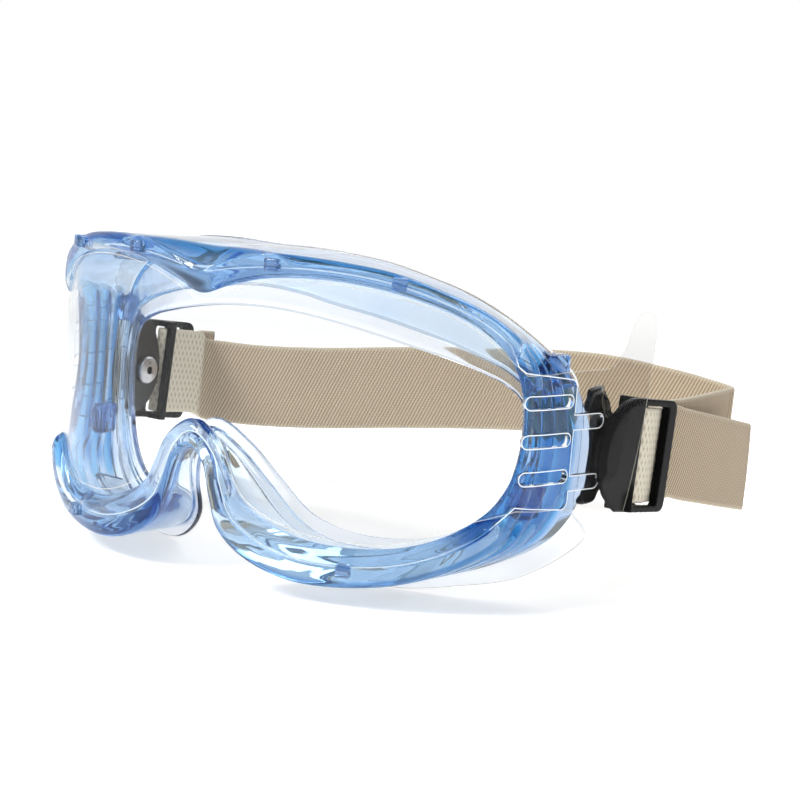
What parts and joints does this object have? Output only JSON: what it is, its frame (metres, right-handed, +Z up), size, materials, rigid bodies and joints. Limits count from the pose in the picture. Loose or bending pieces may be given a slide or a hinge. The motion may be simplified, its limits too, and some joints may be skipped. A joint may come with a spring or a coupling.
{
  "type": "safety goggles",
  "caption": "Wide wrap-round safety goggles: soft translucent frame, clear bent lens with peel-off film, face seal, and an elastic headband on pivoting temple buckles.",
  "frame": {"origin": "on the wearer's midline, midway between the front ends of the two temple clips: the middle of the space that the wearer's head holds the goggles round", "axes": "+Z up as worn, -Y the way the goggles look, +X towards the wearer's left temple"},
  "size_m": [0.173, 0.1639, 0.0848],
  "materials": {
    "frame_pvc": "glossy translucent blue soft PVC",
    "seal_pvc": "clear soft PVC flange",
    "lens_clear": "clear polished polycarbonate",
    "film_clear": "thin clear film",
    "baffle_clear": "clear moulded strip",
    "clip_black": "satin black moulded nylon",
    "buckle_black": "satin black moulded nylon",
    "pin_steel": "plain steel",
    "washer_nylon": "natural nylon",
    "strap_elastic": "tan woven elastic with a diagonal rib"
  },
  "bodies": {
    "goggles": {"frame_body": "frame_pvc", "face_seal": "seal_pvc", "lens": "lens_clear", "peel_off_film": "film_clear", "brow_vent_baffle_left": "baffle_clear", "brow_vent_baffle_right": "baffle_clear", "cheek_vent_baffle_left": "baffle_clear", "cheek_vent_baffle_right": "baffle_clear", "anchor_clip_left": "clip_black", "anchor_clip_right": "clip_black", "pivot_pin_left": "pin_steel", "pivot_pin_right": "pin_steel", "pivot_washer_left": "washer_nylon", "pivot_washer_right": "washer_nylon"},
    "left_buckle": {"buckle_left": "buckle_black", "keeper_bar_left": "buckle_black"},
    "right_buckle": {"buckle_right": "buckle_black", "keeper_bar_right": "buckle_black"},
    "strap": {"headband": "strap_elastic"}
  },
  "joints": [
    {"name": "headband_swing", "type": "hinge", "parent": "goggles", "child": "strap", "pos_m": [0, 0.014, -0.0036], "axis": [1, 0, 0], "range_deg": [-25, 30]},
    {"name": "left_buckle_pivot", "type": "hinge", "parent": "goggles", "child": "left_buckle", "pos_m": [0.0795, 0.014, -0.0036], "axis": [1, 0, 0], "range_deg": [-25, 30]},
    {"name": "right_buckle_pivot", "type": "hinge", "parent": "goggles", "child": "right_buckle", "pos_m": [-0.0795, 0.014, -0.0036], "axis": [1, 0, 0], "range_deg": [-25, 30]}
  ],
  "couplings": [
    {"joint": "left_buckle_pivot", "follows": "headband_swing", "ratio": 1},
    {"joint": "right_buckle_pivot", "follows": "headband_swing", "ratio": 1}
  ]
}
